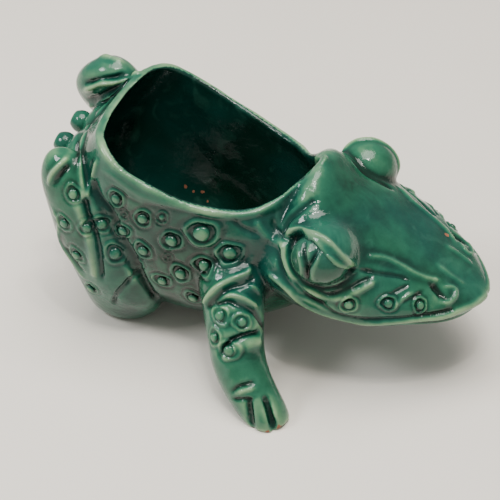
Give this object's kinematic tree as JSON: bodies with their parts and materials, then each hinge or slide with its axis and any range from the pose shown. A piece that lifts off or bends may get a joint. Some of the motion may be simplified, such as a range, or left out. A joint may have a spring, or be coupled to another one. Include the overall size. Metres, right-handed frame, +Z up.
{
  "type": "frog planter",
  "caption": "Glazed earthenware planter shaped as a crouching frog, with an open hollow back that holds a plant or small things, standing on four splayed feet.",
  "frame": {"origin": "middle of the bounding box on the plane the four feet stand on", "axes": "-Y towards the snout, +Z up, -X towards the frog's right side"},
  "size_m": [0.203, 0.2705, 0.136],
  "materials": {
    "green_glaze": "glossy mottled mid-green glaze, pale where thin on edges and dark where it pools",
    "eye_glaze": "the same glossy green glaze with a dark slit pupil groove"
  },
  "bodies": {
    "root": {"trunk_pot": "green_glaze", "head": "green_glaze", "right_eyeball": "eye_glaze", "right_hind_leg": "green_glaze", "right_front_leg": "green_glaze", "right_rump_knob": "green_glaze", "right_flank_pellets": "green_glaze", "right_hind_leg_pellets": "green_glaze", "right_front_leg_pellets": "green_glaze", "right_cheek_pellets": "green_glaze", "left_eyeball": "eye_glaze", "left_hind_leg": "green_glaze", "left_front_leg": "green_glaze", "left_rump_knob": "green_glaze", "left_flank_pellets": "green_glaze", "left_hind_leg_pellets": "green_glaze", "left_front_leg_pellets": "green_glaze", "left_cheek_pellets": "green_glaze"}
  },
  "joints": []
}
